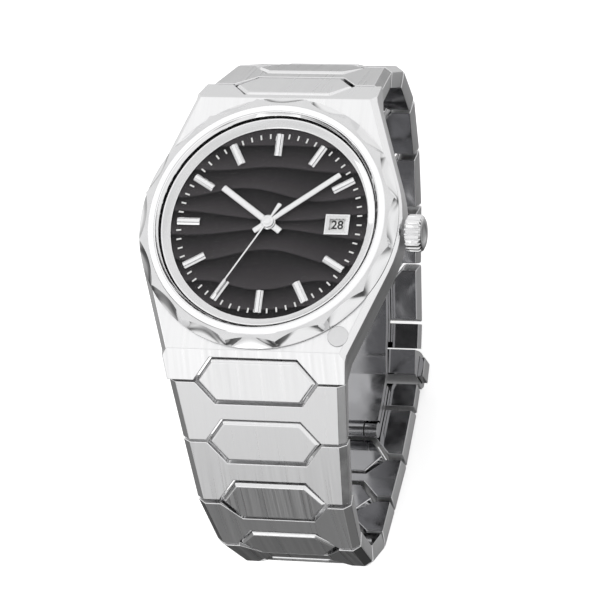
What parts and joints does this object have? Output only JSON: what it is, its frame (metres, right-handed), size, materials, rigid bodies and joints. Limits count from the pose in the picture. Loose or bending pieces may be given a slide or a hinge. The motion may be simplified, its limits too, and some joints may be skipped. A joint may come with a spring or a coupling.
{
  "type": "wristwatch",
  "caption": "Steel wristwatch with a barrel-shaped case, scalloped round bezel, wavy dark dial with baton markers and date window, tapering hinged bracelet and butterfly folding clasp",
  "frame": {"origin": "on the flat foot of the clasp housing that the watch stands on, straight below the centre of the dial", "axes": "+Z out of the dial, +Y towards 12 o'clock, +X towards the crown at 3 o'clock"},
  "size_m": [0.0427, 0.0743, 0.0661],
  "materials": {
    "brushed_steel": "fine straight brushing along each link",
    "polished_steel": "mirror polish",
    "charcoal_dial": "matt charcoal with raised wave bands and applied batons",
    "sapphire": "clear flat crystal",
    "date_white": "matt white with black numerals",
    "gasket_rubber": "matt",
    "movement_metal": "satin plated brass"
  },
  "bodies": {
    "head": {"case_body": "brushed_steel", "case_back": "polished_steel", "case_back_gasket": "gasket_rubber", "bezel": "polished_steel", "crystal": "sapphire", "chapter_ring": "polished_steel", "dial": "charcoal_dial", "date_frame": "polished_steel", "emblem_disc": "polished_steel", "movement": "movement_metal"},
    "hour_hand": {"hour_hand": "polished_steel"},
    "minute_hand": {"minute_hand": "polished_steel"},
    "seconds_hand": {"seconds_hand": "polished_steel"},
    "date_disc": {"date_disc": "date_white"},
    "winding_rotor": {"winding_rotor": "movement_metal"},
    "crown_stem": {"crown_stem": "polished_steel"},
    "crown": {"crown": "polished_steel"},
    "centre_link_12_1": {"centre_link_12_1": "brushed_steel"},
    "wide_link_12_1": {"wide_link_12_1": "brushed_steel"},
    "centre_link_12_2": {"centre_link_12_2": "brushed_steel"},
    "wide_link_12_2": {"wide_link_12_2": "brushed_steel"},
    "centre_link_12_3": {"centre_link_12_3": "brushed_steel"},
    "wide_link_12_3": {"wide_link_12_3": "brushed_steel"},
    "centre_link_12_4": {"centre_link_12_4": "brushed_steel"},
    "wide_link_12_4": {"wide_link_12_4": "brushed_steel"},
    "centre_link_12_5": {"centre_link_12_5": "brushed_steel"},
    "wide_link_12_5": {"wide_link_12_5": "brushed_steel"},
    "centre_link_12_6": {"centre_link_12_6": "brushed_steel"},
    "wide_link_12_6": {"wide_link_12_6": "brushed_steel"},
    "centre_link_12_7": {"centre_link_12_7": "brushed_steel"},
    "clasp_block_12": {"clasp_block_12": "brushed_steel"},
    "centre_link_6_1": {"centre_link_6_1": "brushed_steel"},
    "wide_link_6_1": {"wide_link_6_1": "brushed_steel"},
    "centre_link_6_2": {"centre_link_6_2": "brushed_steel"},
    "wide_link_6_2": {"wide_link_6_2": "brushed_steel"},
    "centre_link_6_3": {"centre_link_6_3": "brushed_steel"},
    "wide_link_6_3": {"wide_link_6_3": "brushed_steel"},
    "centre_link_6_4": {"centre_link_6_4": "brushed_steel"},
    "wide_link_6_4": {"wide_link_6_4": "brushed_steel"},
    "centre_link_6_5": {"centre_link_6_5": "brushed_steel"},
    "wide_link_6_5": {"wide_link_6_5": "brushed_steel"},
    "centre_link_6_6": {"centre_link_6_6": "brushed_steel"},
    "wide_link_6_6": {"wide_link_6_6": "brushed_steel"},
    "centre_link_6_7": {"centre_link_6_7": "brushed_steel"},
    "wide_link_6_7": {"wide_link_6_7": "brushed_steel"},
    "centre_link_6_8": {"centre_link_6_8": "brushed_steel"},
    "tip_block_12": {"tip_block_12": "brushed_steel"},
    "clasp_blade_12": {"clasp_blade_12": "polished_steel"},
    "clasp_plate": {"clasp_plate": "polished_steel", "catch_housing": "polished_steel"},
    "clasp_blade_6": {"clasp_blade_6": "polished_steel"},
    "tip_block_6": {"tip_block_6": "brushed_steel"},
    "clasp_block_6": {"clasp_block_6": "brushed_steel"},
    "release_button_crown_side": {"release_button_crown_side": "polished_steel"},
    "release_button_plain_side": {"release_button_plain_side": "polished_steel"}
  },
  "joints": [
    {"name": "minute_hand_turn", "type": "hinge", "parent": "head", "child": "minute_hand", "pos_m": [0, 0, 0.0642], "axis": [0, 0, -1], "continuous": true},
    {"name": "hour_hand_turn", "type": "hinge", "parent": "head", "child": "hour_hand", "pos_m": [0, 0, 0.0642], "axis": [0, 0, -1], "continuous": true},
    {"name": "seconds_hand_turn", "type": "hinge", "parent": "head", "child": "seconds_hand", "pos_m": [0, 0, 0.0642], "axis": [0, 0, -1], "continuous": true},
    {"name": "date_disc_turn", "type": "hinge", "parent": "head", "child": "date_disc", "pos_m": [0, 0, 0.0642], "axis": [0, 0, -1], "continuous": true},
    {"name": "rotor_turn", "type": "hinge", "parent": "head", "child": "winding_rotor", "pos_m": [0, 0, 0.0642], "axis": [0, 0, 1], "continuous": true},
    {"name": "crown_pull", "type": "slide", "parent": "head", "child": "crown_stem", "axis": [1, 0, 0], "range_m": [0, 0.0009]},
    {"name": "crown_turn", "type": "hinge", "parent": "crown_stem", "child": "crown", "pos_m": [0.0203, 0, 0.06145], "axis": [1, 0, 0], "continuous": true},
    {"name": "centre_link_12_1_hinge", "type": "hinge", "parent": "head", "child": "centre_link_12_1", "pos_m": [0, 0.02124, 0.06088], "axis": [1, 0, 0], "range_deg": [0, 2.85]},
    {"name": "wide_link_12_1_hinge", "type": "hinge", "parent": "centre_link_12_1", "child": "wide_link_12_1", "pos_m": [0, 0.02363, 0.05832], "axis": [1, 0, 0], "range_deg": [0, 2.85]},
    {"name": "centre_link_12_2_hinge", "type": "hinge", "parent": "wide_link_12_1", "child": "centre_link_12_2", "pos_m": [0, 0.02742, 0.0538], "axis": [1, 0, 0], "range_deg": [0, 7.6]},
    {"name": "wide_link_12_2_hinge", "type": "hinge", "parent": "centre_link_12_2", "child": "wide_link_12_2", "pos_m": [0, 0.02927, 0.05083], "axis": [1, 0, 0], "range_deg": [0, 7.6]},
    {"name": "centre_link_12_3_hinge", "type": "hinge", "parent": "wide_link_12_2", "child": "centre_link_12_3", "pos_m": [0, 0.03175, 0.04526], "axis": [1, 0, 0], "range_deg": [0, 12.35]},
    {"name": "wide_link_12_3_hinge", "type": "hinge", "parent": "centre_link_12_3", "child": "wide_link_12_3", "pos_m": [0, 0.03242, 0.04182], "axis": [1, 0, 0], "range_deg": [0, 12.35]},
    {"name": "centre_link_12_4_hinge", "type": "hinge", "parent": "wide_link_12_3", "child": "centre_link_12_4", "pos_m": [0, 0.0322, 0.03553], "axis": [1, 0, 0], "range_deg": [0, 12.35]},
    {"name": "wide_link_12_4_hinge", "type": "hinge", "parent": "centre_link_12_4", "child": "wide_link_12_4", "pos_m": [0, 0.0313, 0.03215], "axis": [1, 0, 0], "range_deg": [0, 12.35]},
    {"name": "centre_link_12_5_hinge", "type": "hinge", "parent": "wide_link_12_4", "child": "centre_link_12_5", "pos_m": [0, 0.02834, 0.02659], "axis": [1, 0, 0], "range_deg": [0, 5.7]},
    {"name": "wide_link_12_5_hinge", "type": "hinge", "parent": "centre_link_12_5", "child": "wide_link_12_5", "pos_m": [0, 0.02638, 0.02368], "axis": [1, 0, 0], "range_deg": [0, 5.7]},
    {"name": "centre_link_12_6_hinge", "type": "hinge", "parent": "wide_link_12_5", "child": "centre_link_12_6", "pos_m": [0, 0.02233, 0.01886], "axis": [1, 0, 0], "range_deg": [0, 4.75]},
    {"name": "wide_link_12_6_hinge", "type": "hinge", "parent": "centre_link_12_6", "child": "wide_link_12_6", "pos_m": [0, 0.01986, 0.01638], "axis": [1, 0, 0], "range_deg": [0, 4.75]},
    {"name": "centre_link_12_7_hinge", "type": "hinge", "parent": "wide_link_12_6", "child": "centre_link_12_7", "pos_m": [0, 0.01503, 0.01233], "axis": [1, 0, 0], "range_deg": [0, 4.75]},
    {"name": "clasp_block_12_hinge", "type": "hinge", "parent": "centre_link_12_7", "child": "clasp_block_12", "pos_m": [0, 0.01216, 0.01033], "axis": [1, 0, 0], "range_deg": [0, 4.75]},
    {"name": "centre_link_6_1_hinge", "type": "hinge", "parent": "head", "child": "centre_link_6_1", "pos_m": [0, -0.02124, 0.06088], "axis": [-1, 0, 0], "range_deg": [0, 2.66]},
    {"name": "wide_link_6_1_hinge", "type": "hinge", "parent": "centre_link_6_1", "child": "wide_link_6_1", "pos_m": [0, -0.02363, 0.05833], "axis": [-1, 0, 0], "range_deg": [0, 2.66]},
    {"name": "centre_link_6_2_hinge", "type": "hinge", "parent": "wide_link_6_1", "child": "centre_link_6_2", "pos_m": [0, -0.02798, 0.05323], "axis": [-1, 0, 0], "range_deg": [0, 1.14]},
    {"name": "wide_link_6_2_hinge", "type": "hinge", "parent": "centre_link_6_2", "child": "wide_link_6_2", "pos_m": [0, -0.03019, 0.05051], "axis": [-1, 0, 0], "range_deg": [0, 1.14]},
    {"name": "centre_link_6_3_hinge", "type": "hinge", "parent": "wide_link_6_2", "child": "centre_link_6_3", "pos_m": [0, -0.03456, 0.04492], "axis": [-1, 0, 0], "range_deg": [0, 9.5]},
    {"name": "wide_link_6_3_hinge", "type": "hinge", "parent": "centre_link_6_3", "child": "wide_link_6_3", "pos_m": [0, -0.0362, 0.04183], "axis": [-1, 0, 0], "range_deg": [0, 9.5]},
    {"name": "centre_link_6_4_hinge", "type": "hinge", "parent": "wide_link_6_3", "child": "centre_link_6_4", "pos_m": [0, -0.0384, 0.03508], "axis": [-1, 0, 0], "range_deg": [0, 9.97]},
    {"name": "wide_link_6_4_hinge", "type": "hinge", "parent": "centre_link_6_4", "child": "wide_link_6_4", "pos_m": [0, -0.03885, 0.03161], "axis": [-1, 0, 0], "range_deg": [0, 9.97]},
    {"name": "centre_link_6_5_hinge", "type": "hinge", "parent": "wide_link_6_4", "child": "centre_link_6_5", "pos_m": [0, -0.03851, 0.02502], "axis": [-1, 0, 0], "range_deg": [0, 12.82]},
    {"name": "wide_link_6_5_hinge", "type": "hinge", "parent": "centre_link_6_5", "child": "wide_link_6_5", "pos_m": [0, -0.03751, 0.02166], "axis": [-1, 0, 0], "range_deg": [0, 12.82]},
    {"name": "centre_link_6_6_hinge", "type": "hinge", "parent": "wide_link_6_5", "child": "centre_link_6_6", "pos_m": [0, -0.03456, 0.01655], "axis": [-1, 0, 0], "range_deg": [0, 10.93]},
    {"name": "wide_link_6_6_hinge", "type": "hinge", "parent": "centre_link_6_6", "child": "wide_link_6_6", "pos_m": [0, -0.03225, 0.01393], "axis": [-1, 0, 0], "range_deg": [0, 10.93]},
    {"name": "centre_link_6_7_hinge", "type": "hinge", "parent": "wide_link_6_6", "child": "centre_link_6_7", "pos_m": [0, -0.02769, 0.0105], "axis": [-1, 0, 0], "range_deg": [0, 6.17]},
    {"name": "wide_link_6_7_hinge", "type": "hinge", "parent": "centre_link_6_7", "child": "wide_link_6_7", "pos_m": [0, -0.02468, 0.00872], "axis": [-1, 0, 0], "range_deg": [0, 6.17]},
    {"name": "centre_link_6_8_hinge", "type": "hinge", "parent": "wide_link_6_7", "child": "centre_link_6_8", "pos_m": [0, -0.01947, 0.0064], "axis": [-1, 0, 0], "range_deg": [0, 4.75]},
    {"name": "tip_block_12_hinge", "type": "hinge", "parent": "clasp_block_12", "child": "tip_block_12", "pos_m": [0, 0.00539, 0.00676], "axis": [1, 0, 0], "range_deg": [0, 7.02]},
    {"name": "clasp_blade_12_hinge", "type": "hinge", "parent": "tip_block_12", "child": "clasp_blade_12", "pos_m": [0, 0.00205, 0.00815], "axis": [1, 0, 0], "range_deg": [0, 55.12]},
    {"name": "clasp_plate_hinge", "type": "hinge", "parent": "clasp_blade_12", "child": "clasp_plate", "pos_m": [0, 0.01027, 0.01321], "axis": [-1, 0, 0], "range_deg": [0, 55.12]},
    {"name": "clasp_blade_6_hinge", "type": "hinge", "parent": "clasp_plate", "child": "clasp_blade_6", "pos_m": [0, -0.01312, 0.00806], "axis": [-1, 0, 0], "range_deg": [0, 55.12]},
    {"name": "tip_block_6_hinge", "type": "hinge", "parent": "clasp_blade_6", "child": "tip_block_6", "pos_m": [0, -0.0055, 0.00571], "axis": [1, 0, 0], "range_deg": [0, 40.09]},
    {"name": "clasp_block_6_hinge", "type": "hinge", "parent": "tip_block_6", "child": "clasp_block_6", "pos_m": [0, -0.00847, 0.00366], "axis": [1, 0, 0], "range_deg": [0, 6.02]},
    {"name": "release_button_crown_side_push", "type": "slide", "parent": "clasp_plate", "child": "release_button_crown_side", "axis": [-1, 0, 0], "range_m": [0, 0.0007], "stiffness_N_per_m": 250},
    {"name": "release_button_plain_side_push", "type": "slide", "parent": "clasp_plate", "child": "release_button_plain_side", "axis": [1, 0, 0], "range_m": [0, 0.0007], "stiffness_N_per_m": 250}
  ],
  "couplings": [
    {"joint": "minute_hand_turn", "follows": "seconds_hand_turn", "ratio": 0.016667},
    {"joint": "hour_hand_turn", "follows": "seconds_hand_turn", "ratio": 0.0013889},
    {"joint": "date_disc_turn", "follows": "seconds_hand_turn", "ratio": 0.000022401},
    {"joint": "tip_block_12_hinge", "follows": "centre_link_12_3_hinge", "ratio": 0.5668},
    {"joint": "clasp_blade_12_hinge", "follows": "centre_link_12_3_hinge", "ratio": 4.4534},
    {"joint": "clasp_plate_hinge", "follows": "centre_link_12_3_hinge", "ratio": 4.4534},
    {"joint": "clasp_blade_6_hinge", "follows": "centre_link_12_3_hinge", "ratio": 4.4534},
    {"joint": "tip_block_6_hinge", "follows": "centre_link_12_3_hinge", "ratio": 3.2389},
    {"joint": "clasp_block_6_hinge", "follows": "centre_link_12_3_hinge", "ratio": 0.48583}
  ]
}
